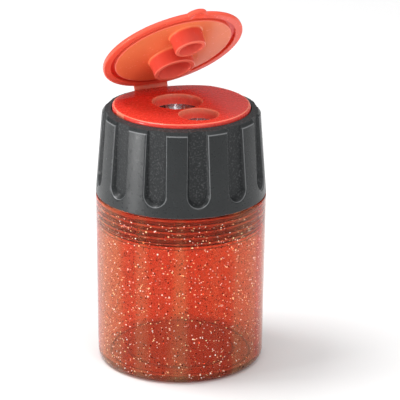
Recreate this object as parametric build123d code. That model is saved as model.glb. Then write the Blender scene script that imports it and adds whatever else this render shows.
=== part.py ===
from build123d import *
import os
from math import cos, radians, sin, sqrt, tan

# A round tub pencil sharpener with two holes.
# Millimetres, +Z up. The origin is the centre of the tub's underside, and the lid hinges at +Y.
# The parts are placed with the lid part open and the cap screwed down.

# ---- driving dimensions ----

# Tub
TUB_TOP_Z = 43.0
TUB_TOP_R = 21.0
TUB_BASE_R = 20.6
TUB_INNER_BASE_R = 19.1
TUB_FLOOR_Z = 1.5
TUB_PANEL_R = 13.2
TUB_PANEL_RISE = 0.4
TUB_FOOT_GROOVE_R = 17.4
TUB_FOOT_GROOVE_DEPTH = 0.4
TUB_CORNER_R = 2.0
TUB_INNER_CORNER_R = 1.0
TUB_RIM_ROUND = 0.35

# Screw thread between cap and tub, drawn as rings one pitch apart
THREAD_PITCH = 1.5
THREAD_RINGS = 5
THREAD_FIRST_Z = 36.2
THREAD_BORE_R = 19.65
THREAD_BORE_LOW_Z = 35.2
TUB_RIDGE_R = 19.42
TUB_LEDGE_R = 19.35
TUB_LEDGE_DROP = 0.3
TUB_RIDGE_HALF_HEIGHT = 0.4
SKIRT_CREST_R = 19.1
SKIRT_ROOT_R = 18.7
SKIRT_INNER_R = 17.3
SKIRT_LOW_Z = 35.4
SKIRT_RIDGE_HALF_HEIGHT = 0.45
RIDGE_ROOT_BITE = 0.1
SPIGOT_R = 18.4
SPIGOT_TOP_Z = 46.0

# Collar
COLLAR_LOW_Z = 43.25
COLLAR_LOW_R = 21.0
COLLAR_SHOULDER_Z = 63.4
COLLAR_SHOULDER_R = 19.4
COLLAR_FACET_Z = 64.3
COLLAR_FACET_R = 18.75
COLLAR_LIP_Z = 64.75
COLLAR_LIP_R = 17.15
LEDGE_R = 15.9
LEDGE_THICK = 1.4
COLLAR_INNER_TOP_R = 17.6
COLLAR_INNER_LOW_R = 17.9
COLLAR_BORE_R = 18.7
COLLAR_BORE_TOP_Z = 46.2
COLLAR_EDGE_ROUND = 0.3

# Flutes in the collar
FLUTE_COUNT = 12
FLUTE_FLOOR_WIDTH = 4.2
FLUTE_FLOOR_LOW_R = 19.15
FLUTE_FLOOR_TOP_R = 18.5
FLUTE_WALL_LEAN = 34.0
FLUTE_END_Z = 48.7
FLUTE_MOUTH_REACH = 3.0
FLUTE_OVERRUN = 5.0

# Insert disc
DISC_R = 16.9
DISC_TOP_Z = 65.6
DISC_UNDER_Z = 63.2
DISC_EDGE_ROUND = 0.55
DISC_FLAT_X = 16.53
RAMP_START_Y = 9.7
RAMP_DROP = 0.72
TONGUE_ANGLES = (0, 90, 180, 230, 310)
TONGUE_SPAN = 24.0
TONGUE_OUTER_R = 15.7
TONGUE_INNER_R = 14.85
TONGUE_LOW_Z = 58.8
TONGUE_BEAD_R = 16.3
TONGUE_BEAD_TOP_Z = 61.1
TONGUE_BEAD_Z = 60.5
ROOT_BITE = 0.3
CLIP_THICK = 1.0
CLIP_LOW_Z = 59.2
CLIP_GAP = 0.15
CLIP_Y = (-7.0, 6.0)

# The two holes: pencils of 10.2 mm and of 8.2 mm
LARGE_Y = 2.2
SMALL_Y = -9.2
LARGE_RIM_R = 6.1
SMALL_RIM_R = 4.75
LARGE_FUNNEL_R = 5.65
SMALL_FUNNEL_R = 4.4
FUNNEL_ROUND = 0.3

# Metal sharpener body
LARGE_BORE_R = 5.5
SMALL_BORE_R = 4.3
LARGE_BORE_DEPTH = 2.6
SMALL_BORE_DEPTH = 2.2
LARGE_CONE_ANGLE = 13.5
SMALL_CONE_ANGLE = 11.0
TIP_HOLE_R = 0.6
BLOCK_HALF_X = 7.0
BLOCK_Y = (-14.7, 10.2)
BLOCK_LENGTH = 25.0
BLOCK_CORNER_R = 3.0
BLOCK_RIM = 2.8
SEAT_BITE = 0.25
SEAT_SPLIT_Y = -2.1

# Blades and their screws
BLADE_THICK = 0.6
BLADE_LENGTH = 21.0
LARGE_BLADE_WIDTH = 7.6
SMALL_BLADE_WIDTH = 6.7
BLADE_BEVEL = 0.55
BLADE_HOLE_R = 1.3
BLADE_END_GAP = 0.1
SCREW_SHANK_R = 1.1
SCREW_SHANK_LENGTH = 4.2
SCREW_HEAD_R = 2.3
SCREW_HEAD_THICK = 1.1
SCREW_HEAD_ROUND = 0.4
SCREW_SLOT_WIDTH = 0.5
SCREW_SLOT_DEPTH = 0.55
SCREW_CLEARANCE = 0.05
SCREW_ALONG = 12.6

# Lid, measured when it is shut
LID_R = 17.8
LID_CENTRE_Y = -0.5
LID_UNDER_Z = 65.75
LID_THICK = 1.1
LID_EDGE_ROUND = 0.35
LID_RIM_BAND = 1.9
LID_GROOVE_WIDTH = 1.0
LID_GROOVE_DEPTH = 0.6
LID_GROOVE_ROUND = 0.18
LARGE_PLUG_ROOT_R = 5.4
LARGE_PLUG_TIP_R = 5.15
LARGE_PLUG_LENGTH = 3.9
SMALL_PLUG_ROOT_R = 4.05
SMALL_PLUG_TIP_R = 3.85
SMALL_PLUG_LENGTH = 4.2
PLUG_WALL = 0.9
PLUG_ROOT_ROUND = 0.4
PLUG_LIP_ROUND = 0.3
TAB_R = 2.8
TAB_REACH = 1.6
TAB_DISH_R = 4.0
TAB_DISH_DEPTH = 0.45
TAB_DISH_SHIFT = 0.5

# Living hinge
HINGE_Y = 16.9
HINGE_Z = 65.6
HINGE_WIDTH = 9.2
HINGE_THICK = 0.36
HINGE_FOOT_LENGTH = 1.0
HINGE_FOOT_THICK = 0.3
HINGE_GAP = 0.03
LID_OPEN_ANGLE = 43.5
LID_BACK_CHAMFER = 0.8

# Places worked out from the sizes above
LID_BACK_Y = LID_CENTRE_Y + sqrt(LID_R**2 - (HINGE_WIDTH / 2) ** 2)
LID_TAB_CENTRE_Y = LID_CENTRE_Y - LID_R - TAB_REACH + TAB_R
HINGE_AXIS = Axis((0, HINGE_Y, HINGE_Z), (-1, 0, 0))
LARGE_HOLE = (LARGE_Y, LARGE_BORE_R, LARGE_BORE_DEPTH, LARGE_CONE_ANGLE)
SMALL_HOLE = (SMALL_Y, SMALL_BORE_R, SMALL_BORE_DEPTH, SMALL_CONE_ANGLE)

# Further than any part reaches, and a cutter's run past a face
BIG = 60.0
PAST = 1.0


def turned(points):
    """A solid turned about Z from its (radius, height) outline."""
    return revolve(Plane.XZ * make_face(Polyline(*points, close=True)), Axis.Z)


def block(x_span, y_span, z_span):
    """A box between two planes on each axis."""
    centre = [(low + high) / 2 for low, high in (x_span, y_span, z_span)]
    size = [high - low for low, high in (x_span, y_span, z_span)]
    return Pos(*centre) * Box(*size)


def tapered_pin(y, low_z, low_r, high_z, high_r):
    """A cone frustum on a vertical axis at (0, y)."""
    outline = [(0, low_z), (low_r, low_z), (high_r, high_z), (0, high_z)]
    return Pos(0, y, 0) * turned(outline)


def circle_edges(shape, radius, height):
    """The round edges of this radius at this height."""
    found = []
    for edge in shape.edges().filter_by(GeomType.CIRCLE):
        level = abs(edge.arc_center.Z - height) < 1e-3
        if level and abs(edge.radius - radius) < 1e-3:
            found.append(edge)
    return found


def rounded(shape, radius, height, size):
    return fillet(circle_edges(shape, radius, height), size)


def ring_bead(wall_r, crest_r, z, half_height):
    """One thread ring, a trapezium standing on a wall of radius wall_r."""
    crest_half = half_height / 3
    outline = [
        (wall_r, z - half_height),
        (crest_r, z - crest_half),
        (crest_r, z + crest_half),
        (wall_r, z + half_height),
    ]
    return turned(outline)


# ---- tub and the cap's thread ----


def make_tub():
    """The shavings tub: a tapered cup with a foot and thread ridges inside its mouth."""
    cup = turned(
        [
            (0, 0),
            (TUB_BASE_R, 0),
            (TUB_TOP_R, TUB_TOP_Z),
            (THREAD_BORE_R, TUB_TOP_Z),
            (THREAD_BORE_R, THREAD_BORE_LOW_Z),
            (TUB_LEDGE_R, THREAD_BORE_LOW_Z - TUB_LEDGE_DROP),
            (TUB_INNER_BASE_R, TUB_FLOOR_Z),
            (TUB_PANEL_R, TUB_FLOOR_Z),
            (TUB_PANEL_R, TUB_FLOOR_Z + TUB_PANEL_RISE),
            (0, TUB_FLOOR_Z + TUB_PANEL_RISE),
        ]
    )
    cup = rounded(cup, TUB_BASE_R, 0, TUB_CORNER_R)
    cup = rounded(cup, TUB_INNER_BASE_R, TUB_FLOOR_Z, TUB_INNER_CORNER_R)
    cup = rounded(cup, TUB_TOP_R, TUB_TOP_Z, TUB_RIM_ROUND)
    foot_groove = turned(
        [
            (TUB_PANEL_R, -PAST),
            (TUB_FOOT_GROOVE_R, -PAST),
            (TUB_FOOT_GROOVE_R, TUB_FOOT_GROOVE_DEPTH),
            (TUB_PANEL_R, TUB_FOOT_GROOVE_DEPTH),
        ]
    )
    cup -= foot_groove
    for index in range(THREAD_RINGS - 1):
        ridge_z = THREAD_FIRST_Z + (index + 0.5) * THREAD_PITCH
        root_r = THREAD_BORE_R + RIDGE_ROOT_BITE
        cup += ring_bead(root_r, TUB_RIDGE_R, ridge_z, TUB_RIDGE_HALF_HEIGHT)
    return cup


def make_thread_skirt():
    """The cap's threaded skirt, which reaches down inside the tub's mouth."""
    skirt = turned(
        [
            (SKIRT_INNER_R, SKIRT_LOW_Z),
            (SKIRT_ROOT_R, SKIRT_LOW_Z),
            (SKIRT_ROOT_R, TUB_TOP_Z),
            (SPIGOT_R, TUB_TOP_Z),
            (SPIGOT_R, SPIGOT_TOP_Z),
            (SKIRT_INNER_R, SPIGOT_TOP_Z),
        ]
    )
    for index in range(THREAD_RINGS):
        crest_z = THREAD_FIRST_Z + index * THREAD_PITCH
        root_r = SKIRT_ROOT_R - RIDGE_ROOT_BITE
        skirt += ring_bead(root_r, SKIRT_CREST_R, crest_z, SKIRT_RIDGE_HALF_HEIGHT)
    return skirt


# ---- collar ----


def flute_outline(width, length):
    """A channel outline: square at the top and half round at its lower end."""
    half = width / 2
    sides = Polyline((half, 0), (half, length), (-half, length), (-half, 0))
    low_end = ThreePointArc((-half, 0), (0, -half), (half, 0))
    return make_face(sides + low_end)


def make_flute_cutter():
    """One flute, whose floor stands nearly upright and whose walls lean outward."""
    height = COLLAR_SHOULDER_Z - FLUTE_END_Z
    run_in = FLUTE_FLOOR_LOW_R - FLUTE_FLOOR_TOP_R
    slant = sqrt(height**2 + run_in**2)
    outward = (height / slant, 0, run_in / slant)
    floor_plane = Plane((FLUTE_FLOOR_LOW_R, 0, FLUTE_END_Z), x_dir=(0, 1, 0), z_dir=outward)
    mouth_width = FLUTE_FLOOR_WIDTH + 2 * FLUTE_MOUTH_REACH * tan(radians(FLUTE_WALL_LEAN))
    floor = floor_plane * flute_outline(FLUTE_FLOOR_WIDTH, height + FLUTE_OVERRUN)
    mouth_plane = floor_plane.offset(FLUTE_MOUTH_REACH)
    mouth = mouth_plane * flute_outline(mouth_width, height + FLUTE_OVERRUN)
    return loft([floor.face(), mouth.face()])


def flute_mouth_edges(shell):
    """The edges where the flutes break through the collar's sloping outer face."""
    slope = (COLLAR_SHOULDER_R - COLLAR_LOW_R) / (COLLAR_SHOULDER_Z - COLLAR_LOW_Z)
    found = []
    for edge in shell.edges():
        middle = edge.position_at(0.5)
        face_r = COLLAR_LOW_R + slope * (middle.Z - COLLAR_LOW_Z)
        on_face = abs(sqrt(middle.X**2 + middle.Y**2) - face_r) < 0.03
        between = COLLAR_LOW_Z + 1 < middle.Z < COLLAR_SHOULDER_Z - 0.2
        if on_face and between:
            found.append(edge)
    return found


def make_collar():
    """The fluted cap shell. Ribs lie at 0, 30, 60 degrees and so on, with flutes between."""
    ledge_low_z = DISC_UNDER_Z - LEDGE_THICK
    slope = COLLAR_INNER_TOP_R - LEDGE_R
    shell = turned(
        [
            (COLLAR_BORE_R, COLLAR_LOW_Z),
            (COLLAR_LOW_R, COLLAR_LOW_Z),
            (COLLAR_SHOULDER_R, COLLAR_SHOULDER_Z),
            (COLLAR_FACET_R, COLLAR_FACET_Z),
            (COLLAR_LIP_R, COLLAR_LIP_Z),
            (COLLAR_LIP_R, DISC_UNDER_Z),
            (LEDGE_R, DISC_UNDER_Z),
            (LEDGE_R, ledge_low_z),
            (COLLAR_INNER_TOP_R, ledge_low_z - slope),
            (COLLAR_INNER_LOW_R, COLLAR_BORE_TOP_Z),
            (COLLAR_BORE_R, COLLAR_BORE_TOP_Z),
        ]
    )
    shell = rounded(shell, COLLAR_LOW_R, COLLAR_LOW_Z, COLLAR_EDGE_ROUND)
    cutter = make_flute_cutter()
    half_step = 180 / FLUTE_COUNT
    for index in range(FLUTE_COUNT):
        shell -= Rot(0, 0, half_step * (2 * index + 1)) * cutter
    return fillet(flute_mouth_edges(shell), COLLAR_EDGE_ROUND)


# ---- insert disc ----


def make_tongue(angle):
    """A snap tongue whose bead catches under the collar's ledge."""
    outline = [
        (TONGUE_INNER_R, DISC_UNDER_Z + ROOT_BITE),
        (TONGUE_OUTER_R, DISC_UNDER_Z + ROOT_BITE),
        (TONGUE_OUTER_R, TONGUE_BEAD_TOP_Z),
        (TONGUE_BEAD_R, TONGUE_BEAD_Z),
        (TONGUE_OUTER_R, TONGUE_LOW_Z),
        (TONGUE_INNER_R, TONGUE_LOW_Z),
    ]
    face = Plane.XZ * make_face(Polyline(*outline, close=True))
    tongue = revolve(face, Axis.Z, revolution_arc=TONGUE_SPAN)
    return Rot(0, 0, angle - TONGUE_SPAN / 2) * tongue


def make_insert():
    """The disc that carries both holes, with tongues and two clips below it."""
    disc = Pos(0, 0, DISC_UNDER_Z) * Cylinder(
        DISC_R, DISC_TOP_Z - DISC_UNDER_Z, align=(Align.CENTER, Align.CENTER, Align.MIN)
    )
    disc = rounded(disc, DISC_R, DISC_TOP_Z, DISC_EDGE_ROUND)
    ramp_profile = [
        (RAMP_START_Y, DISC_TOP_Z),
        (DISC_R, DISC_TOP_Z - RAMP_DROP),
        (DISC_R + 2 * PAST, DISC_TOP_Z - RAMP_DROP),
        (DISC_R + 2 * PAST, DISC_TOP_Z + PAST),
        (RAMP_START_Y, DISC_TOP_Z + PAST),
    ]
    ramp_face = Plane.YZ * make_face(Polyline(*ramp_profile, close=True))
    disc -= extrude(ramp_face, BIG / 2, both=True)
    for side in (-1, 1):
        beyond_flat = sorted((side * DISC_FLAT_X, side * BIG))
        disc -= block(beyond_flat, (-BIG, BIG), (0, 2 * BIG))
    disc -= tapered_pin(LARGE_Y, DISC_UNDER_Z, LARGE_FUNNEL_R, DISC_TOP_Z, LARGE_RIM_R)
    disc -= tapered_pin(SMALL_Y, DISC_UNDER_Z, SMALL_FUNNEL_R, DISC_TOP_Z, SMALL_RIM_R)
    disc = rounded(disc, LARGE_RIM_R, DISC_TOP_Z, FUNNEL_ROUND)
    disc = rounded(disc, SMALL_RIM_R, DISC_TOP_Z, FUNNEL_ROUND)
    for angle in TONGUE_ANGLES:
        disc += make_tongue(angle)
    clip_inner_x = BLOCK_HALF_X + CLIP_GAP
    for side in (-1, 1):
        clip_x = sorted((side * clip_inner_x, side * (clip_inner_x + CLIP_THICK)))
        disc += block(clip_x, CLIP_Y, (CLIP_LOW_Z, DISC_UNDER_Z + ROOT_BITE))
    return disc


# ---- metal sharpener body, blades and screws ----


def cone_radius(bore_r, bore_depth, angle, z):
    """The cone's radius at height z."""
    cone_top_z = DISC_UNDER_Z - bore_depth
    return bore_r - (cone_top_z - z) * tan(radians(angle))


def pencil_hole(y, bore_r, bore_depth, angle):
    """A straight mouth, then a cone, then a small hole for the point."""
    cone_top_z = DISC_UNDER_Z - bore_depth
    cone_length = (bore_r - TIP_HOLE_R) / tan(radians(angle))
    outline = [
        (0, 0),
        (TIP_HOLE_R, 0),
        (TIP_HOLE_R, cone_top_z - cone_length),
        (bore_r, cone_top_z),
        (bore_r, DISC_UNDER_Z + PAST),
        (0, DISC_UNDER_Z + PAST),
    ]
    return Pos(0, y, 0) * turned(outline)


def seat_cut(bore_r, bore_depth, angle, y_low, y_high):
    """The wedge removed above a blade's sloping seat."""
    top_z = DISC_UNDER_Z - BLOCK_RIM
    low_z = DISC_UNDER_Z - BLOCK_LENGTH - PAST
    top_x = cone_radius(bore_r, bore_depth, angle, top_z) - SEAT_BITE
    low_x = cone_radius(bore_r, bore_depth, angle, low_z) - SEAT_BITE
    outline = [(top_x, top_z), (low_x, low_z), (BIG, low_z), (BIG, top_z)]
    plane = Plane((0, y_high, 0), x_dir=(1, 0, 0), z_dir=(0, -1, 0))
    return extrude(plane * make_face(Polyline(*outline, close=True)), y_high - y_low)


def seat_plane(y, bore_r, bore_depth, angle, along):
    """A plane on the blade seat: local X runs along +Y, local Y up the slope."""
    z = DISC_UNDER_Z - BLOCK_RIM - along * cos(radians(angle))
    x = cone_radius(bore_r, bore_depth, angle, z) - SEAT_BITE
    outward = (cos(radians(angle)), 0, -sin(radians(angle)))
    return Plane((x, y, z), x_dir=(0, 1, 0), z_dir=outward)


def make_sharpener_body():
    """The cast wedge block with both pencil holes and a sloping seat for each blade."""
    low_z = DISC_UNDER_Z - BLOCK_LENGTH
    body = block((-BLOCK_HALF_X, BLOCK_HALF_X), BLOCK_Y, (low_z, DISC_UNDER_Z))
    body = fillet(body.edges().filter_by(Axis.Z), BLOCK_CORNER_R)
    body -= seat_cut(*LARGE_HOLE[1:], SEAT_SPLIT_Y, BIG)
    body -= seat_cut(*SMALL_HOLE[1:], -BIG, SEAT_SPLIT_Y)
    body -= pencil_hole(*LARGE_HOLE)
    body -= pencil_hole(*SMALL_HOLE)
    for hole, width in ((LARGE_HOLE, LARGE_BLADE_WIDTH), (SMALL_HOLE, SMALL_BLADE_WIDTH)):
        seat = seat_plane(*hole, SCREW_ALONG)
        pilot = Cylinder(SCREW_SHANK_R + SCREW_CLEARANCE, 2 * SCREW_SHANK_LENGTH)
        body -= seat * Pos(width / 2, 0, 0) * pilot
    return body


def make_blade(hole, width):
    """A flat blade lying on its seat, its bevelled edge along the hole's centre line."""
    seat = seat_plane(*hole, BLADE_LENGTH / 2 + BLADE_END_GAP)
    outline = [(0, 0), (width, 0), (width, BLADE_THICK), (BLADE_BEVEL, BLADE_THICK)]
    section = Plane((0, -BLADE_LENGTH / 2, 0), x_dir=(1, 0, 0), z_dir=(0, -1, 0))
    profile = section * make_face(Polyline(*outline, close=True))
    blade = extrude(profile, -BLADE_LENGTH)
    hole_y = BLADE_LENGTH / 2 + BLADE_END_GAP - SCREW_ALONG
    blade -= Pos(width / 2, hole_y, 0) * Cylinder(BLADE_HOLE_R, 4 * PAST)
    return seat * blade


def make_screw(hole, width):
    """A slotted pan-head screw through the blade."""
    grounded = (Align.CENTER, Align.CENTER, Align.MIN)
    head = Pos(0, 0, BLADE_THICK) * Cylinder(SCREW_HEAD_R, SCREW_HEAD_THICK, align=grounded)
    head = rounded(head, SCREW_HEAD_R, BLADE_THICK + SCREW_HEAD_THICK, SCREW_HEAD_ROUND)
    slot_floor = BLADE_THICK + SCREW_HEAD_THICK - SCREW_SLOT_DEPTH
    slot_half = SCREW_SLOT_WIDTH / 2
    head -= block((-slot_half, slot_half), (-BIG, BIG), (slot_floor, BIG))
    shank_length = SCREW_SHANK_LENGTH + BLADE_THICK
    shank = Pos(0, 0, BLADE_THICK) * Cylinder(
        SCREW_SHANK_R, shank_length, align=(Align.CENTER, Align.CENTER, Align.MAX)
    )
    seat = seat_plane(*hole, SCREW_ALONG)
    return seat * Pos(width / 2, 0, 0) * (head + shank)


# ---- lid and its hinge ----


def add_plug(plate, y, root_r, tip_r, length):
    """The lid plate with a hollow plug below it, which fills a hole's mouth."""
    low_z = LID_UNDER_Z - length
    plug = tapered_pin(y, low_z, tip_r, LID_UNDER_Z, root_r)
    bore = tapered_pin(y, low_z, tip_r - PLUG_WALL, LID_UNDER_Z, root_r - PLUG_WALL)
    joined = rounded(plate + (plug - bore), root_r, LID_UNDER_Z, PLUG_ROOT_ROUND)
    return rounded(joined, tip_r, low_z, PLUG_LIP_ROUND)


def rounded_plate(radius, y):
    """A round plate of the lid's thickness with both edges rounded."""
    grounded = (Align.CENTER, Align.CENTER, Align.MIN)
    plate = Cylinder(radius, LID_THICK, align=grounded)
    plate = fillet(plate.edges().filter_by(GeomType.CIRCLE), LID_EDGE_ROUND)
    return Pos(0, y, LID_UNDER_Z) * plate


def make_lid_shut():
    """The lid in its shut place: a disc with a rim groove, two plugs and a thumb tab."""
    plate = rounded_plate(LID_R, LID_CENTRE_Y) + rounded_plate(TAB_R, LID_TAB_CENTRE_Y)
    groove_outer = LID_R - LID_RIM_BAND
    groove_inner = groove_outer - LID_GROOVE_WIDTH
    groove_top_z = LID_UNDER_Z + LID_GROOVE_DEPTH
    groove = turned(
        [
            (groove_inner, LID_UNDER_Z - PAST),
            (groove_outer, LID_UNDER_Z - PAST),
            (groove_outer, groove_top_z),
            (groove_inner, groove_top_z),
        ]
    )
    plate -= Pos(0, LID_CENTRE_Y, 0) * groove
    for groove_r in (groove_inner, groove_outer):
        plate = rounded(plate, groove_r, LID_UNDER_Z, LID_GROOVE_ROUND)
    dish_z = LID_UNDER_Z + TAB_DISH_DEPTH - TAB_DISH_R
    plate -= Pos(0, LID_TAB_CENTRE_Y - TAB_DISH_SHIFT, dish_z) * Sphere(TAB_DISH_R)
    top_z = LID_UNDER_Z + LID_THICK
    back = [
        (LID_BACK_Y - LID_BACK_CHAMFER, top_z),
        (LID_BACK_Y, top_z - LID_BACK_CHAMFER),
        (LID_BACK_Y, LID_UNDER_Z - PAST),
        (LID_BACK_Y + BIG, LID_UNDER_Z - PAST),
        (LID_BACK_Y + BIG, top_z + PAST),
        (LID_BACK_Y - LID_BACK_CHAMFER, top_z + PAST),
    ]
    back_face = Plane.YZ * make_face(Polyline(*back, close=True))
    plate -= extrude(back_face, BIG / 2, both=True)
    plate = add_plug(plate, LARGE_Y, LARGE_PLUG_ROOT_R, LARGE_PLUG_TIP_R, LARGE_PLUG_LENGTH)
    return add_plug(plate, SMALL_Y, SMALL_PLUG_ROOT_R, SMALL_PLUG_TIP_R, SMALL_PLUG_LENGTH)


def make_lid():
    """The lid swung open about the living hinge."""
    return make_lid_shut().rotate(HINGE_AXIS, LID_OPEN_ANGLE)


def ramp_z(y):
    """The height of the insert's ramp."""
    share = (y - RAMP_START_Y) / (DISC_R - RAMP_START_Y)
    return DISC_TOP_Z - RAMP_DROP * share


def make_living_hinge():
    """The thin strip from the insert's ramp up to the lid, with a foot that lies on the ramp."""
    back_y = HINGE_Y + HINGE_THICK / 2
    front_y = HINGE_Y - HINGE_THICK / 2
    foot_y = front_y - HINGE_FOOT_LENGTH
    top_z = LID_UNDER_Z - 2 * HINGE_GAP
    outline = [
        (back_y, ramp_z(back_y) + HINGE_GAP),
        (back_y, top_z),
        (front_y, top_z),
        (front_y, ramp_z(front_y) + HINGE_GAP + HINGE_FOOT_THICK),
        (foot_y, ramp_z(foot_y) + HINGE_GAP + HINGE_FOOT_THICK),
        (foot_y, ramp_z(foot_y) + HINGE_GAP),
    ]
    section = Plane.YZ * make_face(Polyline(*outline, close=True))
    return extrude(section, HINGE_WIDTH / 2, both=True)


def main():
    os.makedirs("parts", exist_ok=True)
    parts = {
        "tub": make_tub(),
        "thread_skirt": make_thread_skirt(),
        "collar": make_collar(),
        "insert_disc": make_insert(),
        "sharpener_body": make_sharpener_body(),
        "blade_large": make_blade(LARGE_HOLE, LARGE_BLADE_WIDTH),
        "blade_small": make_blade(SMALL_HOLE, SMALL_BLADE_WIDTH),
        "screw_large": make_screw(LARGE_HOLE, LARGE_BLADE_WIDTH),
        "screw_small": make_screw(SMALL_HOLE, SMALL_BLADE_WIDTH),
        "living_hinge": make_living_hinge(),
        "lid": make_lid(),
    }
    for node, shape in parts.items():
        export_step(shape, f"parts/{node}.step")


if __name__ == "__main__":
    main()
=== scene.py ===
"""The looks of a red and black tub pencil sharpener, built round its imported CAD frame."""
import math
import random

import bmesh
import bpy
from mathutils import Matrix, Vector


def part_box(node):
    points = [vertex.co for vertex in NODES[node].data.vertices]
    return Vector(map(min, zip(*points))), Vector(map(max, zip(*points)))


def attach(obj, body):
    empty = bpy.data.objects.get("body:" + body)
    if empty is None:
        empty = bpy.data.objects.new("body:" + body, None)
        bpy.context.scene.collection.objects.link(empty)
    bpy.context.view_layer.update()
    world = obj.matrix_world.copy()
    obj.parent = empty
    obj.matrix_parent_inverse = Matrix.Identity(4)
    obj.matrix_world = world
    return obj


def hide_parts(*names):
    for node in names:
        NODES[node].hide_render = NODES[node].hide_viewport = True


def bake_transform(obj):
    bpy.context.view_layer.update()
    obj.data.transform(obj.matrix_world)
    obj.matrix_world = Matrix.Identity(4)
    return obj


MM = 0.001
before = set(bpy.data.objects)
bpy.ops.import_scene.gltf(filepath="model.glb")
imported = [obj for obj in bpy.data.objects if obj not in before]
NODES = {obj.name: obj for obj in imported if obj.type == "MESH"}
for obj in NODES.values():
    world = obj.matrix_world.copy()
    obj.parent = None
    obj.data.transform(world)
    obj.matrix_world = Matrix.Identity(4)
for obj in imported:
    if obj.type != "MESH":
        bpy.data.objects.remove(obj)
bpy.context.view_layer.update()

# ---- camera: the photograph's viewing angle ----

CAMERA_AZIMUTH = -27.5
CAMERA_ELEVATION = 19.9
CAMERA_DISTANCE = 600 * MM
CAMERA_LENS = 219.0
CAMERA_ROLL = 0.45
AIM_HEIGHT = 43.2 * MM
AIM_RIGHT = 4.7 * MM
AIM_DOWN = 2.36 * MM

# ---- colours ----

RED = (0.84, 0.055, 0.035, 1)
RED_DEEP = (0.7, 0.034, 0.022, 1)
FUNNEL_RED = (1.0, 0.11, 0.075, 1)
GROOVE_RED = (0.8, 0.045, 0.03, 1)
PLUG_RED = (0.74, 0.075, 0.045, 1)
PLUG_INNER_RED = (1.0, 0.19, 0.14, 1)
LIP_CORAL = (0.95, 0.2, 0.13, 1)
EDGE_CORAL = (1.0, 0.24, 0.15, 1)
DISC_RIM_RED = (1.0, 0.26, 0.16, 1)
HINGE_PALE = (0.92, 0.33, 0.2, 1)
PANEL_ORANGE = (0.98, 0.26, 0.1, 1)
PANEL_ORANGE_DEEP = (0.92, 0.21, 0.085, 1)
RIM_CORAL = (0.98, 0.12, 0.07, 1)
BLACK = (0.014, 0.016, 0.017, 1)
BLACK_GREY = (0.024, 0.027, 0.028, 1)
EDGE_GREY = (0.17, 0.175, 0.18, 1)
CREST_GREY = (0.2, 0.18, 0.17, 1)
SPECKLE_GREY = (0.07, 0.072, 0.075, 1)
ALLOY_GREY = (0.78, 0.79, 0.8, 1)
ALLOY_DARK = (0.74, 0.75, 0.77, 1)
ALLOY_LIGHT = (0.92, 0.92, 0.93, 1)
STEEL_GREY = (0.8, 0.8, 0.82, 1)
STEEL_DARK = (0.66, 0.67, 0.7, 1)
STEEL_LIGHT = (0.82, 0.82, 0.84, 1)
ZINC_GREY = (0.7, 0.69, 0.66, 1)
ZINC_DARK = (0.5, 0.49, 0.46, 1)
ZINC_LIGHT = (0.76, 0.75, 0.71, 1)
FLAKE_WHITE = (1, 1, 1, 1)
FLOOR_WHITE = (0.9, 0.9, 0.9, 1)
HORIZON_GREY = (0.22, 0.22, 0.22, 1)
SKY_WHITE = (1.0, 1.0, 1.0, 1)

# ---- lights, sky and floor ----

# name, azimuth, elevation, distance, width and height in metres, watts
LIGHTS = (
    ("key", -125, 66, 0.7, 0.28, 0.28, 3.0),
    ("left_strip", -90, 0, 0.5, 0.06, 0.1, 1.3),
    ("fill", 5, 30, 0.7, 0.3, 0.3, 1.0),
)
HORIZON_LEVEL = 0.25
SKY_LEVEL = 0.7
SKY_STRENGTH = 0.9
FLOOR_SIZE = 4.0


def look_direction(azimuth, elevation):
    """The unit vector from the object to a viewer; azimuth 0 looks along +Y."""
    turn = math.radians(azimuth)
    rise = math.radians(elevation)
    flat = math.cos(rise)
    return Vector((math.sin(turn) * flat, -math.cos(turn) * flat, math.sin(rise)))


def make_camera():
    back = look_direction(CAMERA_AZIMUTH, CAMERA_ELEVATION)
    facing = (-back).to_track_quat("-Z", "Y")
    right = facing @ Vector((1, 0, 0))
    up = facing @ Vector((0, 1, 0))
    aim = Vector((0, 0, AIM_HEIGHT)) + right * AIM_RIGHT - up * AIM_DOWN
    data = bpy.data.cameras.new("camera")
    data.lens = CAMERA_LENS
    data.clip_start = 0.01
    data.clip_end = 20
    camera = bpy.data.objects.new("camera", data)
    camera.location = aim + back * CAMERA_DISTANCE
    camera.rotation_mode = "QUATERNION"
    roll = Matrix.Rotation(math.radians(CAMERA_ROLL), 3, "Z").to_quaternion()
    camera.rotation_quaternion = facing @ roll
    bpy.context.scene.collection.objects.link(camera)
    bpy.context.scene.camera = camera


def area_light(name, azimuth, elevation, distance, width, height, watts):
    """A soft light aimed at the middle of the object."""
    data = bpy.data.lights.new(name, "AREA")
    data.shape = "RECTANGLE"
    data.size = width
    data.size_y = height
    data.energy = watts
    light = bpy.data.objects.new(name, data)
    direction = look_direction(azimuth, elevation)
    light.location = Vector((0, 0, AIM_HEIGHT)) + direction * distance
    light.rotation_mode = "QUATERNION"
    light.rotation_quaternion = direction.to_track_quat("Z", "Y")
    bpy.context.scene.collection.objects.link(light)


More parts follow.
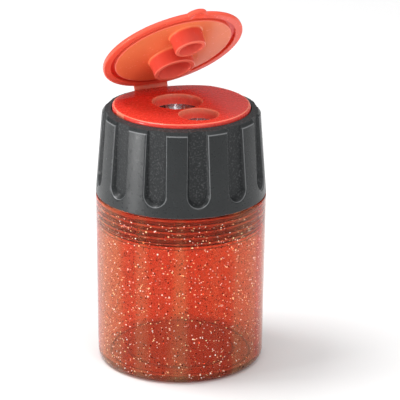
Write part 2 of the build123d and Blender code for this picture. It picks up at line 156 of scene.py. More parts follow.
def make_world():
    """A studio that is bright overhead and dim towards the horizon."""
    world = bpy.data.worlds.new("studio")
    world.use_nodes = True
    nodes = world.node_tree.nodes
    links = world.node_tree.links
    direction = nodes.new("ShaderNodeTexCoord")
    height = nodes.new("ShaderNodeSeparateXYZ")
    links.new(direction.outputs["Generated"], height.inputs["Vector"])
    ramp = nodes.new("ShaderNodeValToRGB")
    ramp.color_ramp.elements[0].position = HORIZON_LEVEL
    ramp.color_ramp.elements[0].color = HORIZON_GREY
    ramp.color_ramp.elements[1].position = SKY_LEVEL
    ramp.color_ramp.elements[1].color = SKY_WHITE
    links.new(height.outputs["Z"], ramp.inputs["Fac"])
    background = nodes["Background"]
    links.new(ramp.outputs["Color"], background.inputs["Color"])
    background.inputs["Strength"].default_value = SKY_STRENGTH
    bpy.context.scene.world = world
    bpy.context.scene.view_settings.view_transform = "Standard"


def make_floor():
    mesh = bpy.data.meshes.new("floor")
    half = FLOOR_SIZE / 2
    corners = [(-half, -half, 0), (half, -half, 0), (half, half, 0), (-half, half, 0)]
    mesh.from_pydata(corners, [], [(0, 1, 2, 3)])
    floor = bpy.data.objects.new("floor", mesh)
    bpy.context.scene.collection.objects.link(floor)
    material = new_material("floor_paper", FLOOR_WHITE, roughness=0.9)
    floor.data.materials.append(material)


def new_material(name, colour, roughness=0.4, metallic=0.0):
    material = bpy.data.materials.new(name)
    material.use_nodes = True
    shader = material.node_tree.nodes["Principled BSDF"]
    shader.inputs["Base Color"].default_value = colour
    shader.inputs["Roughness"].default_value = roughness
    shader.inputs["Metallic"].default_value = metallic
    return material


def paint(node, material):
    mesh = NODES[node].data
    mesh.materials.clear()
    mesh.materials.append(material)


# ---- shader tools ----


def shader_of(material):
    return material.node_tree.nodes["Principled BSDF"]


def add_node(material, kind, **settings):
    node = material.node_tree.nodes.new(kind)
    for name, value in settings.items():
        setattr(node, name, value)
    return node


def connect(material, source, target):
    material.node_tree.links.new(source, target)


def object_place(material):
    """Each point's place in the frame, in metres."""
    return add_node(material, "ShaderNodeTexCoord").outputs["Object"]


def stretched(material, place, scale):
    """The place with each axis multiplied, so that a texture is drawn out along one."""
    mapping = add_node(material, "ShaderNodeMapping")
    mapping.inputs["Scale"].default_value = scale
    connect(material, place, mapping.inputs["Vector"])
    return mapping.outputs["Vector"]


def grains(material, place, size, detail=2.0):
    """Noise from 0 to 1 whose grains are about this many millimetres across."""
    noise = add_node(material, "ShaderNodeTexNoise")
    noise.inputs["Scale"].default_value = 1 / (size * MM)
    noise.inputs["Detail"].default_value = detail
    connect(material, place, noise.inputs["Vector"])
    return noise.outputs["Fac"]


def maths(material, operation, first, second):
    """A Math node whose inputs are sockets or numbers."""
    node = add_node(material, "ShaderNodeMath", operation=operation)
    for socket, value in zip(node.inputs, (first, second)):
        if isinstance(value, (int, float)):
            socket.default_value = value
        else:
            connect(material, value, socket)
    return node.outputs["Value"]


def remap(material, value, low, high, out_low, out_high):
    """The value's span from low to high, spread over a new span and held there."""
    node = add_node(material, "ShaderNodeMapRange")
    connect(material, value, node.inputs["Value"])
    node.inputs["From Min"].default_value = low
    node.inputs["From Max"].default_value = high
    node.inputs["To Min"].default_value = out_low
    node.inputs["To Max"].default_value = out_high
    return node.outputs["Result"]


def mix_colours(material, factor, first, second):
    """first where the factor is 0, second where it is 1; each a socket or a colour."""
    node = add_node(material, "ShaderNodeMixRGB")
    connect(material, factor, node.inputs["Fac"])
    for socket, value in zip((node.inputs["Color1"], node.inputs["Color2"]), (first, second)):
        if isinstance(value, tuple):
            socket.default_value = value
        else:
            connect(material, value, socket)
    return node.outputs["Color"]


def set_colour(material, colour):
    connect(material, colour, shader_of(material).inputs["Base Color"])


def set_roughness(material, roughness):
    connect(material, roughness, shader_of(material).inputs["Roughness"])


def set_bump(material, height, depth):
    """A bump of this depth in millimetres from a height of 0 to 1."""
    bump = add_node(material, "ShaderNodeBump")
    bump.inputs["Distance"].default_value = depth * MM
    connect(material, height, bump.inputs["Height"])
    connect(material, bump.outputs["Normal"], shader_of(material).inputs["Normal"])


def radius_from(material, place, centre):
    """The distance in metres from a vertical line at centre, an (x, y) in metres."""
    shifted = add_node(material, "ShaderNodeVectorMath", operation="SUBTRACT")
    connect(material, place, shifted.inputs[0])
    shifted.inputs[1].default_value = (centre[0], centre[1], 0)
    flat = add_node(material, "ShaderNodeVectorMath", operation="MULTIPLY")
    connect(material, shifted.outputs["Vector"], flat.inputs[0])
    flat.inputs[1].default_value = (1, 1, 0)
    length = add_node(material, "ShaderNodeVectorMath", operation="LENGTH")
    connect(material, flat.outputs["Vector"], length.inputs[0])
    return length.outputs["Value"]


def fade(material, value, span, start, end):
    """start below a span given in millimetres, end above it, and a smooth change across it."""
    low, high = span
    return remap(material, value, low * MM, high * MM, start, end)


def band(material, value, span, blur):
    """1 where the value is inside a span in millimetres, else 0, with soft ends."""
    low, high = span
    rise = fade(material, value, (low - blur, low + blur), 0, 1)
    fall = fade(material, value, (high - blur, high + blur), 1, 0)
    return maths(material, "MULTIPLY", rise, fall)


def axes_of(material, place):
    """The place's X, Y and Z outputs."""
    split = add_node(material, "ShaderNodeSeparateXYZ")
    connect(material, place, split.inputs["Vector"])
    return split.outputs


NOISE_SPAN = (0.3, 0.7)


def speckled(material, noise, low, high):
    """Noise spread over the numbers from low to high."""
    return remap(material, noise, *NOISE_SPAN, low, high)


# ---- mesh tools ----


def round_corners(points, steps=5):
    """An outline of (radius, height, corner radius) points, with its corners as arcs."""
    outline = []
    count = len(points)
    for index, (x, y, corner) in enumerate(points):
        here = Vector((x, y))
        if corner <= 0:
            outline.append(here)
            continue
        before = Vector(points[index - 1][:2])
        after = Vector(points[(index + 1) % count][:2])
        to_before = (before - here).normalized()
        to_after = (after - here).normalized()
        half_angle = to_before.angle(to_after) / 2
        start = here + to_before * corner / math.tan(half_angle)
        bisector = (to_before + to_after).normalized()
        centre = here + bisector * corner / math.sin(half_angle)
        spoke = start - centre
        turn = math.pi - 2 * half_angle
        if to_before.x * to_after.y - to_before.y * to_after.x > 0:
            turn = -turn
        for step in range(steps + 1):
            angle = turn * step / steps
            rotated = Vector(
                (
                    spoke.x * math.cos(angle) - spoke.y * math.sin(angle),
                    spoke.x * math.sin(angle) + spoke.y * math.cos(angle),
                )
            )
            outline.append(centre + rotated)
    return outline


def divide(outline, longest):
    """The closed outline with extra points, so that no span is longer than this."""
    fine = []
    for index, here in enumerate(outline):
        after = outline[(index + 1) % len(outline)]
        spans = max(1, math.ceil((after - here).length / longest))
        for span in range(spans):
            fine.append(here.lerp(after, span / spans))
    return fine


def lathe(name, outline, segments, shift=None):
    """A closed solid turned about Z. shift(radius, height, angle) gives each point's radius."""
    mesh = bmesh.new()
    rings = []
    for point in outline:
        if point.x < 1e-6:
            pole = mesh.verts.new((0, 0, point.y * MM))
            rings.append([pole] * segments)
            continue
        ring = []
        for segment in range(segments):
            angle = 2 * math.pi * segment / segments
            radius = shift(point.x, point.y, angle) if shift else point.x
            place = (radius * math.cos(angle), radius * math.sin(angle), point.y)
            ring.append(mesh.verts.new(Vector(place) * MM))
        rings.append(ring)
    for index, ring in enumerate(rings):
        above = rings[(index + 1) % len(rings)]
        for segment in range(segments):
            beyond = (segment + 1) % segments
            corners = [ring[segment], ring[beyond], above[beyond], above[segment]]
            unique = list(dict.fromkeys(corners))
            if len(unique) > 2:
                mesh.faces.new(unique)
    bmesh.ops.recalc_face_normals(mesh, faces=mesh.faces)
    return finished_object(name, mesh)


def finished_object(name, mesh, sharp_angle=40):
    """The bmesh as a smooth-shaded object in the scene."""
    data = bpy.data.meshes.new(name)
    mesh.to_mesh(data)
    mesh.free()
    data.shade_smooth()
    data.set_sharp_from_angle(angle=math.radians(sharp_angle))
    piece = bpy.data.objects.new(name, data)
    bpy.context.scene.collection.objects.link(piece)
    return piece


def settle(piece, body, material, slot, *replaced):
    """Gives a new piece its material and its body, and hides the CAD nodes it stands for; slot
    is not used.
    """
    piece.data.materials.append(material)
    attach(piece, body)
    if replaced:
        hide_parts(*replaced)
    return piece


# ---- tub ----

TUB_TOP_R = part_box("tub")[1].x / MM
TUB_TOP_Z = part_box("tub")[1].z / MM
TUB_BASE_R = TUB_TOP_R - 0.4
TUB_FLOOR_Z = 1.5
TUB_PANEL_R = 13.2
TUB_PANEL_Z = 1.9
TUB_INNER_BASE_R = 19.1
THREAD_LOW_Z = 35.2
THREAD_BORE_R = 19.65
THREAD_PITCH = 1.5
THREAD_HEIGHT = 0.25
THREAD_REACH = 0.34
THREAD_EASE = 0.16
THREAD_END = 0.8
FOOT_GROOVE_WIDTH = 4.2
FOOT_GROOVE_LEAN = 0.2
FOOT_GROOVE_DEPTH = 0.4
TUB_CORNER_R = 2.0
SOFT_EDGE = 0.15
SHARP_EDGE = 0.1
LEDGE_DROP = 0.3
ON_SURFACE = 0.01


def thread_wave(height, angle):
    """0 to 1: how much of the thread's crest lies at this height and angle of a helix."""
    turns = height / THREAD_PITCH - angle / (2 * math.pi)
    off_crest = abs(turns - math.floor(turns) - 0.5)
    return max(0.0, min(1.0, (THREAD_REACH - off_crest) / THREAD_EASE))


def tub_radius(radius, height, angle):
    """The tub's wall, with a shallow thread inside its mouth."""
    inside = abs(radius - THREAD_BORE_R) < ON_SURFACE
    threaded = THREAD_LOW_Z + THREAD_END < height < TUB_TOP_Z - THREAD_END
    if inside and threaded:
        return radius - THREAD_HEIGHT * thread_wave(height, angle)
    return radius


def make_tub(material):
    groove_outer = TUB_PANEL_R + FOOT_GROOVE_WIDTH
    outline = round_corners(
        [
            (0, 0, 0),
            (TUB_PANEL_R, 0, SOFT_EDGE),
            (TUB_PANEL_R + FOOT_GROOVE_LEAN, FOOT_GROOVE_DEPTH, SOFT_EDGE),
            (groove_outer - FOOT_GROOVE_LEAN, FOOT_GROOVE_DEPTH, SOFT_EDGE),
            (groove_outer, 0, SOFT_EDGE),
            (TUB_BASE_R, 0, TUB_CORNER_R),
            (TUB_TOP_R, TUB_TOP_Z, 0.35),
            (THREAD_BORE_R, TUB_TOP_Z, SOFT_EDGE),
            (THREAD_BORE_R, THREAD_LOW_Z, SHARP_EDGE),
            (THREAD_BORE_R - LEDGE_DROP, THREAD_LOW_Z - LEDGE_DROP, SHARP_EDGE),
            (TUB_INNER_BASE_R, TUB_FLOOR_Z, 1.0),
            (TUB_PANEL_R, TUB_FLOOR_Z, SHARP_EDGE),
            (TUB_PANEL_R - 0.2, TUB_PANEL_Z, SHARP_EDGE),
            (0, TUB_PANEL_Z, 0),
        ]
    )
    shell = lathe("tub_shell", divide(outline, 0.35), 256, tub_radius)
    return settle(shell, "tub", material, "tub_plastic", "tub")


TUB_CLEAR = 0.85
TUB_MOUTH_CLEAR = 0.93
TUB_RIDGE_CLEAR = 0.1
TUB_SHINE = 0.1
TUB_ORANGE = (1.0, 0.5, 0.26, 1)
TUB_RED = (0.97, 0.19, 0.095, 1)
TUB_FLOOR_RED = (1.0, 0.3, 0.14, 1)
TUB_RIDGE_PINK = (1.0, 0.52, 0.42, 1)
TUB_RING_RED = (0.3, 0.02, 0.012, 1)
TUB_FLOOR_CLEAR = 0.3
TUB_SHEEN_TINT = (1.0, 0.25, 0.2, 1)
TUB_ABSORPTION = (0.72, 0.24, 0.14, 1)
TUB_DENSITY = 330.0
TUB_IOR = 1.4
STREAK_STRETCH = (1, 1, 0.03)
STREAK_SIZE = 8.0
STREAK_SPAN = (0.42, 0.58)
# Zones in millimetres: heights, or distances from the axis
TUB_FLOOR_HEIGHTS = (2.0, 2.6)
TUB_FLOOR_REACH = (18.6, 19.6)
TUB_MOUTH_HEIGHTS = (35.8, 36.0)
TUB_RINGS = ((12.9, 13.5), (17.0, 17.7))
LINE_BLUR = 0.08


def tub_floor_zone(material, radius, height):
    low = fade(material, height, TUB_FLOOR_HEIGHTS, 1, 0)
    inside = fade(material, radius, TUB_FLOOR_REACH, 1, 0)
    return maths(material, "MULTIPLY", low, inside)


def tub_ridge_zone(material, radius, in_mouth):
    """The crests of the thread inside the tub's mouth."""
    ridge_r = THREAD_BORE_R - THREAD_HEIGHT
    crest = fade(material, radius, (ridge_r + 0.02, ridge_r + 0.1), 1, 0)
    return maths(material, "MULTIPLY", crest, in_mouth)


def tub_colour(material, place, radius, near_floor, on_ridge):
    """Painted light in the colour: orange and red streaks down the walls for refracted light,
    dark rings of painted shade at the floor's steps, a floor painted paler as a glow through
    the base, and painted highlights on the thread's crests.
    """
    # The orange streaks on the red walls are painted light: they stand in for light refracted
    # through the walls.
    streak_noise = grains(material, stretched(material, place, STREAK_STRETCH), STREAK_SIZE)
    streaks = remap(material, streak_noise, *STREAK_SPAN, 0, 1)
    walls = mix_colours(material, streaks, TUB_RED, TUB_ORANGE)
    # The dark rings at the floor's steps are painted shade.
    inner_ring, outer_ring = [band(material, radius, ring, LINE_BLUR) for ring in TUB_RINGS]
    rings = maths(material, "MAXIMUM", inner_ring, outer_ring)
    floor_colour = mix_colours(material, rings, TUB_FLOOR_RED, TUB_RING_RED)
    # The floor is painted paler orange than the walls, a painted glow standing in for light
    # through the base.
    floored = mix_colours(material, near_floor, walls, floor_colour)
    # The pink on the thread's crests is a painted highlight.
    return mix_colours(material, on_ridge, floored, TUB_RIDGE_PINK)


def tub_clearness(material, near_floor, in_mouth, on_ridge):
    """The share of light that passes: least at the floor and the crests, most at the mouth."""
    floor_clear = remap(material, near_floor, 0, 1, TUB_CLEAR, TUB_FLOOR_CLEAR)
    mouth_gain = maths(material, "MULTIPLY", in_mouth, TUB_MOUTH_CLEAR - TUB_CLEAR)
    ridge_loss = maths(material, "MULTIPLY", on_ridge, TUB_RIDGE_CLEAR - TUB_MOUTH_CLEAR)
    shifts = maths(material, "ADD", mouth_gain, ridge_loss)
    return maths(material, "ADD", floor_clear, shifts)


def tub_material():
    """Clear red plastic: it darkens with the thickness that light passes through."""
    material = new_material("glitter_tub_plastic", TUB_ORANGE, 0.06)
    shader = shader_of(material)
    shader.inputs["IOR"].default_value = TUB_IOR
    shader.inputs["Specular IOR Level"].default_value = TUB_SHINE
    shader.inputs["Specular Tint"].default_value = TUB_SHEEN_TINT
    place = object_place(material)
    radius = radius_from(material, place, (0, 0))
    height = axes_of(material, place)["Z"]
    near_floor = tub_floor_zone(material, radius, height)
    in_mouth = fade(material, height, TUB_MOUTH_HEIGHTS, 0, 1)
    on_ridge = tub_ridge_zone(material, radius, in_mouth)
    set_colour(material, tub_colour(material, place, radius, near_floor, on_ridge))
    clear = tub_clearness(material, near_floor, in_mouth, on_ridge)
    connect(material, clear, shader.inputs["Transmission Weight"])
    set_roughness(material, speckled(material, grains(material, place, 1.4), 0.03, 0.09))
    set_bump(material, grains(material, place, 2.6), 0.02)
    absorption = add_node(material, "ShaderNodeVolumeAbsorption")
    absorption.inputs["Color"].default_value = TUB_ABSORPTION
    absorption.inputs["Density"].default_value = TUB_DENSITY
    output = material.node_tree.nodes["Material Output"]
    connect(material, absorption.outputs["Volume"], output.inputs["Volume"])
    return material


GLITTER_COUNT = 12500
GLITTER_SEED = 11
GLITTER_LIMIT_R = 20.992
GLITTER_LOW_Z = 0.9
GLITTER_TOP_GAP = 1.2
SKIN_SHARE = 0.45
SKIN_DEPTHS = (0.0, 0.01)
SKIN_TILT = 0.03
WALL_DEPTHS = (0.08, 1.0)
WALL_TILT = 0.6
FLAKE_SIZES = (0.06, 0.25, 0.09)
FLAKE_SIDES = 6
FLAKE_THICK = 0.012
FLAKE_RISE = 0.023
# From each share of the flakes upwards, their colour
FLAKE_COLOURS = (
    (0.0, (1.0, 0.92, 0.78, 1)),
    (0.2, (1.0, 0.66, 0.36, 1)),
    (0.38, (1.0, 0.6, 0.5, 1)),
    (0.46, (0.95, 0.8, 0.4, 1)),
    (0.56, (0.09, 0.012, 0.01, 1)),
)


def make_glitter(material):
    """Thousands of thin flakes in the tub's wall; the ones that show break its skin."""
    rng = random.Random(GLITTER_SEED)
    mesh = bmesh.new()
    for _ in range(GLITTER_COUNT):
        height = rng.uniform(GLITTER_LOW_Z, TUB_TOP_Z - GLITTER_TOP_GAP)
        angle = rng.uniform(0, 2 * math.pi)
        skin_r = TUB_BASE_R + (TUB_TOP_R - TUB_BASE_R) * height / TUB_TOP_Z
        if height < TUB_CORNER_R:
            skin_r -= TUB_CORNER_R - math.sqrt(TUB_CORNER_R**2 - (TUB_CORNER_R - height) ** 2)
        at_skin = rng.random() < SKIN_SHARE
        depth = rng.uniform(*(SKIN_DEPTHS if at_skin else WALL_DEPTHS))
        size = rng.triangular(*FLAKE_SIZES)
        tilt = SKIN_TILT if at_skin else WALL_TILT
        add_flake(mesh, rng, skin_r - depth, angle, height, size, tilt)
    flakes = finished_object("tub_glitter", mesh, 10)
    return settle(flakes, "tub", material, "tub_plastic")


def add_flake(mesh, rng, radius, angle, height, size, tilt):
    """One flake: a thin six-sided prism, moved inward if a corner would pass the limit."""
    across = Vector((math.cos(angle), math.sin(angle), 0))
    lean = Vector([rng.gauss(0, tilt) for _ in range(3)])
    outward = Vector((across.x, across.y, FLAKE_RISE))
    facing = (outward + lean).normalized().to_track_quat("Z", "Y")
    facing = facing @ Matrix.Rotation(rng.uniform(0, 1), 3, "Z").to_quaternion()
    centre = Vector((radius * math.cos(angle), radius * math.sin(angle), height))
    corners = []
    for level in (-FLAKE_THICK / 2, FLAKE_THICK / 2):
        for side in range(FLAKE_SIDES):
            turn = 2 * math.pi * side / FLAKE_SIDES
            corner = Vector((size * math.cos(turn), size * math.sin(turn), level))
            corners.append(centre + facing @ corner)
    excess = max(0.0, max(corner.xy.length for corner in corners) - GLITTER_LIMIT_R)
    points = [mesh.verts.new((corner - across * excess) * MM) for corner in corners]
    low = points[:FLAKE_SIDES]
    high = points[FLAKE_SIDES:]
    mesh.faces.new(reversed(low))
    mesh.faces.new(high)
    for side in range(FLAKE_SIDES):
        beyond = (side + 1) % FLAKE_SIDES
        mesh.faces.new((low[side], low[beyond], high[beyond], high[side]))


def glitter_material():
    """Metal flakes, each of one colour."""
    material = new_material("glitter_flakes", FLAKE_WHITE, 0.18, 1.0)
    ramp = add_node(material, "ShaderNodeValToRGB")
    ramp.color_ramp.interpolation = "CONSTANT"
    elements = ramp.color_ramp.elements
    elements[0].color = FLAKE_COLOURS[0][1]
    elements[1].position = FLAKE_COLOURS[1][0]
    elements[1].color = FLAKE_COLOURS[1][1]
    for position, colour in FLAKE_COLOURS[2:]:
        elements.new(position).color = colour
    island = add_node(material, "ShaderNodeNewGeometry").outputs["Random Per Island"]
    connect(material, island, ramp.inputs["Fac"])
    set_colour(material, ramp.outputs["Color"])
    return material


# ---- cap ----

SKIRT_LOW_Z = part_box("thread_skirt")[0].z / MM
SKIRT_TOP_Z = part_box("thread_skirt")[1].z / MM
SKIRT_CREST_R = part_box("thread_skirt")[1].x / MM
SKIRT_ROOT_R = SKIRT_CREST_R - 0.4
SKIRT_INNER_R = 17.3
SPIGOT_R = 18.4
SKIRT_THREAD_HEIGHT = 0.39
SKIRT_LOW_END = 0.6
SKIRT_TOP_END = 0.5
SKIRT_FADE = 0.5


def skirt_radius(radius, height, angle):
    """The skirt's wall with a helical thread on its outside, which fades at both ends."""
    if radius <= SKIRT_ROOT_R - ON_SURFACE:
        return radius
    above_foot = height - SKIRT_LOW_Z - SKIRT_LOW_END
    below_top = TUB_TOP_Z - SKIRT_TOP_END - height
    share = max(0.0, min(1.0, min(above_foot, below_top) / SKIRT_FADE))
    wave = thread_wave(height + THREAD_PITCH / 2, angle)
    return radius + SKIRT_THREAD_HEIGHT * share * wave


def make_skirt(material):
    outline = round_corners(
        [
            (SKIRT_INNER_R, SKIRT_LOW_Z, 0.2),
            (SKIRT_ROOT_R, SKIRT_LOW_Z, 0.3),
            (SKIRT_ROOT_R, TUB_TOP_Z, 0.05),
            (SPIGOT_R, TUB_TOP_Z, 0.05),
            (SPIGOT_R, SKIRT_TOP_Z, 0.1),
            (SKIRT_INNER_R, SKIRT_TOP_Z, 0.1),
        ]
    )
    skirt = lathe("cap_thread", divide(outline, 0.15), 192, skirt_radius)
    return settle(skirt, "thread_skirt", material, "cap_plastic", "thread_skirt")


COLLAR_LOW_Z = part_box("collar")[0].z
COLLAR_LOW_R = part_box("collar")[1].x
COLLAR_TAPER = 0.0794
COLLAR_SHINE = 0.36
# Depths in from the ribs' faces, and heights, in millimetres
FLUTE_DEPTHS = (0.35, 0.8)
FLUTE_EDGE_DEPTHS = (0.05, 0.24)
FLUTE_EDGE_BLUR = 0.05
RIB_DEPTHS = (0.25, 0.4)
SHOULDER_Z = 63.4
SHOULDER_LINE = (SHOULDER_Z - 0.14, SHOULDER_Z + 0.14)
SHOULDER_FADE = (SHOULDER_Z, SHOULDER_Z + 0.2)
SHOULDER_BLUR = 0.06


def skirt_material():
    """Moulded black plastic, with a painted pale highlight along the crests of its thread."""
    material = new_material("skirt_plastic", BLACK, 0.32)
    place = object_place(material)
    streak_noise = grains(material, stretched(material, place, (1, 1, 0.3)), 5.0)
    plain = mix_colours(material, streak_noise, BLACK, BLACK_GREY)
    radius = radius_from(material, place, (0, 0))
    crest = (SKIRT_ROOT_R + 0.12, SKIRT_CREST_R - 0.06)
    on_crest = fade(material, radius, crest, 0, 1)
    # The pale grey on the thread's crests is a painted highlight.
    set_colour(material, mix_colours(material, on_crest, plain, CREST_GREY))
    crest_smoothing = maths(material, "MULTIPLY", on_crest, -0.12)
    skin = speckled(material, grains(material, place, 0.8), 0.24, 0.4)
    set_roughness(material, maths(material, "ADD", skin, crest_smoothing))
    set_bump(material, grains(material, place, 0.5), 0.006)
    return material


def flute_depth(material, place, height):
    """How far a point lies in from the ribs' tapering faces, in metres."""
    rise = maths(material, "SUBTRACT", height, COLLAR_LOW_Z)
    taper = maths(material, "MULTIPLY", rise, COLLAR_TAPER)
    straightened = maths(material, "ADD", radius_from(material, place, (0, 0)), taper)
    return maths(material, "SUBTRACT", COLLAR_LOW_R, straightened)


def rib_lines(material, depth, height):
    """Painted highlights: the pale lines round the flutes' rims and along the ribs' tops."""
    mouth_edge = band(material, depth, FLUTE_EDGE_DEPTHS, FLUTE_EDGE_BLUR)
    below_top = fade(material, height, SHOULDER_FADE, 1, 0)
    rib_edge = maths(material, "MULTIPLY", mouth_edge, below_top)
    shoulder = band(material, height, SHOULDER_LINE, SHOULDER_BLUR)
    on_rib = fade(material, depth, RIB_DEPTHS, 1, 0)
    rib_top = maths(material, "MULTIPLY", shoulder, on_rib)
    return maths(material, "MAXIMUM", rib_edge, rib_top)


def collar_material():
    """Black plastic: smooth ribs, and a spark-eroded texture on the flutes' floors."""
    material = new_material("collar_plastic", BLACK, 0.35)
    shader_of(material).inputs["Specular IOR Level"].default_value = COLLAR_SHINE
    place = object_place(material)
    height = axes_of(material, place)["Z"]
    depth = flute_depth(material, place, height)
    in_flute = fade(material, depth, FLUTE_DEPTHS, 0, 1)
    spark = grains(material, place, 0.42, 3.0)
    speckle = remap(material, spark, 0.52, 0.72, 0, 1)
    flute_colour = mix_colours(material, speckle, BLACK, SPECKLE_GREY)
    rib_colour = mix_colours(material, grains(material, place, 6.0), BLACK, BLACK_GREY)
    body_colour = mix_colours(material, in_flute, rib_colour, flute_colour)
    # The pale grey lines round the flutes' rims and along the ribs' tops are painted highlights
    # on rounded edges.
    edge_highlights = rib_lines(material, depth, height)
    set_colour(material, mix_colours(material, edge_highlights, body_colour, EDGE_GREY))
    rib_roughness = speckled(material, grains(material, place, 0.9), 0.25, 0.36)
    wear = maths(material, "MULTIPLY", in_flute, 0.22)
    set_roughness(material, maths(material, "ADD", rib_roughness, wear))
    fine = maths(material, "MULTIPLY", grains(material, place, 0.3), 0.08)
    rough = maths(material, "MULTIPLY", spark, in_flute)
    set_bump(material, maths(material, "ADD", fine, rough), 0.06)
    return material


# ---- disc, lid and hinge ----

LARGE_HOLE = (0, 2.2 * MM)
SMALL_HOLE = (0, -9.2 * MM)
# Distances from the axis, or from a hole's own axis, in millimetres
DISC_EDGE_LINE = (16.35, 16.65)
DISC_EDGE_BLUR = 0.05
LARGE_LIP_LINE = (5.95, 6.3)
SMALL_LIP_LINE = (4.6, 4.95)
LARGE_FUNNEL_REACH = (5.95, 6.05)
SMALL_FUNNEL_REACH = (4.6, 4.7)


def hinge_material():
    """The thin folded web: pale coral, with fine streaks."""
    material = new_material("hinge_plastic", HINGE_PALE, 0.3)
    place = object_place(material)
    streaks = grains(material, stretched(material, place, (1, 0.2, 0.2)), 0.4)
    set_colour(material, mix_colours(material, streaks, RIM_CORAL, HINGE_PALE))
    set_roughness(material, speckled(material, streaks, 0.25, 0.4))
    set_bump(material, streaks, 0.008)
    return material


def red_material():
    """The disc's moulded red plastic, with funnels painted brighter as light inside them and
    painted highlight lines on the edges.
    """
    material = new_material("red_plastic", RED, 0.28)
    place = object_place(material)
    drift = mix_colours(material, grains(material, place, 7.0), RED_DEEP, RED)
    from_axis = radius_from(material, place, (0, 0))
    from_large = radius_from(material, place, LARGE_HOLE)
    from_small = radius_from(material, place, SMALL_HOLE)
    on_edge = band(material, from_axis, DISC_EDGE_LINE, DISC_EDGE_BLUR)
    large_lip = band(material, from_large, LARGE_LIP_LINE, LINE_BLUR)
    small_lip = band(material, from_small, SMALL_LIP_LINE, LINE_BLUR)
    lips = maths(material, "MAXIMUM", large_lip, small_lip)
    edges = maths(material, "MAXIMUM", on_edge, lips)
    in_large = fade(material, from_large, LARGE_FUNNEL_REACH, 1, 0)
    in_small = fade(material, from_small, SMALL_FUNNEL_REACH, 1, 0)
    in_funnel = maths(material, "MAXIMUM", in_large, in_small)
    # The brighter red inside the funnels is painted light.
    body = mix_colours(material, in_funnel, drift, FUNNEL_RED)
    # The pale lines at the disc's edge and the holes' lips are painted highlights.
    set_colour(material, mix_colours(material, edges, body, DISC_RIM_RED))
    set_roughness(material, speckled(material, grains(material, place, 0.9), 0.2, 0.33))
    set_bump(material, grains(material, place, 0.45), 0.005)
    return material


# The lid when it is shut; heights and the plugs' tips are measured from the hinge
LID_OPEN_ANGLE = 43.5
HINGE_Y = 16.9 * MM
HINGE_Z = 65.6 * MM
LID_CENTRE_Y = -0.5 * MM
LID_R = 17.8
LID_RIM_BAND = 1.9
LID_GROOVE_WIDTH = 1.0
LID_SHINE = 0.2
LID_TOP_HEIGHTS = (0.8, 1.1)
PLUG_HEIGHTS = (-0.5, 0.0)
PLUG_SPLIT_Y = (-20.5, -20.3)
SMALL_PLUG_TIP = -4.05
LARGE_PLUG_TIP = -3.75
LIP_HEIGHTS = (0.08, 0.3)
LARGE_PLUG_BORE = (4.6, 4.75)
SMALL_PLUG_BORE = (3.3, 3.45)


def lid_place(material):
    """Each point's place from the hinge with the lid swung shut, in metres."""
    shifted = add_node(material, "ShaderNodeVectorMath", operation="SUBTRACT")
    connect(material, object_place(material), shifted.inputs[0])
    shifted.inputs[1].default_value = (0, HINGE_Y, HINGE_Z)
    swung = add_node(material, "ShaderNodeVectorRotate", rotation_type="X_AXIS")
    connect(material, shifted.outputs["Vector"], swung.inputs["Vector"])
    swung.inputs["Angle"].default_value = math.radians(LID_OPEN_ANGLE)
    return swung.outputs["Vector"]


def lid_underside(material, place, panel):
    """The plate from below: an orange panel of painted glow, a deep red groove, a rim painted
    coral as light on it, and a painted highlight line at the panel's edge.
    """
    radius = radius_from(material, place, (0, LID_CENTRE_Y - HINGE_Y))
    outer = LID_R - LID_RIM_BAND
    inner = outer - LID_GROOVE_WIDTH
    on_rim = fade(material, radius, (outer - 0.1, outer + 0.1), 0, 1)
    # The coral rim is painted light, lighter than the plain red plastic.
    zoned = mix_colours(material, on_rim, panel, RIM_CORAL)
    panel_edge = band(material, radius, (inner - 0.35, inner), LINE_BLUR)
    # The coral line at the panel's edge is a painted highlight.
    lined = mix_colours(material, panel_edge, zoned, EDGE_CORAL)
    in_groove = band(material, radius, (inner, outer), 0.12)
    return mix_colours(material, in_groove, lined, GROOVE_RED)


def plug_colour(material, place, axes):
    """The two plugs: red outside, painted brighter inside as light through the thin walls, with
    painted highlights on the coral lips.
    """
    from_large = radius_from(material, place, (0, LARGE_HOLE[1] - HINGE_Y))
    from_small = radius_from(material, place, (0, SMALL_HOLE[1] - HINGE_Y))
    in_large = fade(material, from_large, LARGE_PLUG_BORE, 1, 0)
    in_small = fade(material, from_small, SMALL_PLUG_BORE, 1, 0)
    in_plug = maths(material, "MAXIMUM", in_large, in_small)
    # The brighter red inside the plugs' bores is painted light, a glow through the thin walls.
    sides = mix_colours(material, in_plug, PLUG_RED, PLUG_INNER_RED)
    tips = (SMALL_PLUG_TIP * MM, LARGE_PLUG_TIP * MM)
    tip = fade(material, axes["Y"], PLUG_SPLIT_Y, *tips)
    above_tip = maths(material, "SUBTRACT", axes["Z"], tip)
    lip = fade(material, above_tip, LIP_HEIGHTS, 1, 0)
    # The coral lips are a painted highlight on the rounded tips.
    return mix_colours(material, lip, sides, LIP_CORAL)


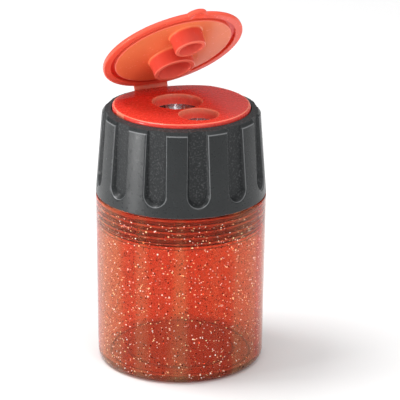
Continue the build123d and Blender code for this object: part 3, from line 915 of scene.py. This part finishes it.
def lid_material():
    """Thin red plastic: its middle is painted orange as a glow from below, and its top is plain
    red.
    """
    material = new_material("lid_plastic", PANEL_ORANGE, 0.22)
    shader_of(material).inputs["Specular IOR Level"].default_value = LID_SHINE
    place = lid_place(material)
    axes = axes_of(material, place)
    drift = grains(material, place, 6.0)
    # The orange panel is a painted glow standing in for light through the thin plate.
    panel = mix_colours(material, drift, PANEL_ORANGE_DEEP, PANEL_ORANGE)
    plate = lid_underside(material, place, panel)
    on_plug = fade(material, axes["Z"], PLUG_HEIGHTS, 1, 0)
    below = mix_colours(material, on_plug, plate, plug_colour(material, place, axes))
    top = mix_colours(material, drift, RED_DEEP, RED)
    on_top = fade(material, axes["Z"], LID_TOP_HEIGHTS, 0, 1)
    set_colour(material, mix_colours(material, on_top, below, top))
    set_roughness(material, speckled(material, grains(material, place, 0.9), 0.16, 0.28))
    set_bump(material, grains(material, place, 0.5), 0.005)
    return material


# The hinge strip in millimetres: its middle curve is (y, z) through foot, bulge and tip
HINGE_FOOT = Vector((16.6, 64.9))
HINGE_BULGE = Vector((17.25, 65.9))
HINGE_TIP = Vector((16.75, 66.28))
HINGE_HALF_WIDTH = 4.6
HINGE_HALF_THICK = 0.18
HINGE_ACROSS = 12
HINGE_ALONG = 16
HINGE_EDGE_WIDTH = 0.2
HINGE_EDGE_SHARE = 0.45


def hinge_row(mesh, share):
    """One loop of points round the strip, this share of the way from foot to tip."""
    before = HINGE_FOOT.lerp(HINGE_BULGE, share)
    after = HINGE_BULGE.lerp(HINGE_TIP, share)
    spot = before.lerp(after, share)
    ahead = (after - before).normalized()
    normal = Vector((ahead.y, -ahead.x))
    row = []
    for side in (-1, 1):
        for column in range(HINGE_ACROSS + 1):
            x = HINGE_HALF_WIDTH * (2 * column / HINGE_ACROSS - 1) * side
            inset = (HINGE_HALF_WIDTH - abs(x)) / HINGE_EDGE_WIDTH
            edge = min(1.0, inset + HINGE_EDGE_SHARE)
            point = spot + normal * HINGE_HALF_THICK * edge * side
            row.append(mesh.verts.new(Vector((x, point.x, point.y)) * MM))
    return row


def make_hinge(material):
    """The living hinge: a thin strip that rises off the disc and runs into the lid."""
    mesh = bmesh.new()
    rows = [hinge_row(mesh, step / HINGE_ALONG) for step in range(HINGE_ALONG + 1)]
    for low, high in zip(rows, rows[1:]):
        for index in range(len(low)):
            beyond = (index + 1) % len(low)
            mesh.faces.new((low[index], low[beyond], high[beyond], high[index]))
    mesh.faces.new(reversed(rows[0]))
    mesh.faces.new(rows[-1])
    bmesh.ops.recalc_face_normals(mesh, faces=mesh.faces)
    strip = finished_object("hinge_strip", mesh, 50)
    strip.data.materials.append(material)
    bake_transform(strip)
    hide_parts("living_hinge")


# ---- metal ----


def cast_metal_material():
    """Pressure-cast light alloy: grey, satin, with faint milling lines down its length."""
    material = new_material("cast_metal", ALLOY_GREY, 0.3, 1.0)
    place = object_place(material)
    lines = grains(material, stretched(material, place, (1, 1, 0.06)), 0.35)
    patches = grains(material, place, 3.0)
    set_colour(material, mix_colours(material, patches, ALLOY_DARK, ALLOY_LIGHT))
    set_roughness(material, speckled(material, lines, 0.08, 0.18))
    set_bump(material, lines, 0.003)
    return material


def ground_steel_material():
    """Blade steel: bright, with fine grinding marks across its width."""
    material = new_material("blade_steel", STEEL_GREY, 0.18, 1.0)
    place = object_place(material)
    marks = grains(material, stretched(material, place, (0.08, 0.08, 1)), 0.16)
    tint = grains(material, place, 4.0)
    set_colour(material, mix_colours(material, tint, STEEL_DARK, STEEL_LIGHT))
    set_roughness(material, speckled(material, marks, 0.12, 0.26))
    set_bump(material, marks, 0.006)
    return material


def screw_material():
    """Zinc-plated screws, a little warmer and duller than the blades."""
    material = new_material("screw_steel", ZINC_GREY, 0.28, 1.0)
    place = object_place(material)
    tint = grains(material, place, 0.9)
    set_colour(material, mix_colours(material, tint, ZINC_DARK, ZINC_LIGHT))
    set_roughness(material, speckled(material, grains(material, place, 0.4), 0.2, 0.38))
    set_bump(material, grains(material, place, 0.25), 0.008)
    return material


# ---- the scene ----

make_camera()
make_world()
make_floor()
for light in LIGHTS:
    area_light(*light)
steel = ground_steel_material()
paint("lid", lid_material())
paint("insert_disc", red_material())
paint("collar", collar_material())
paint("sharpener_body", cast_metal_material())
paint("blade_large", steel)
paint("blade_small", steel)
screw_metal = screw_material()
paint("screw_large", screw_metal)
paint("screw_small", screw_metal)
make_tub(tub_material())
make_glitter(glitter_material())
make_skirt(skirt_material())
make_hinge(hinge_material())
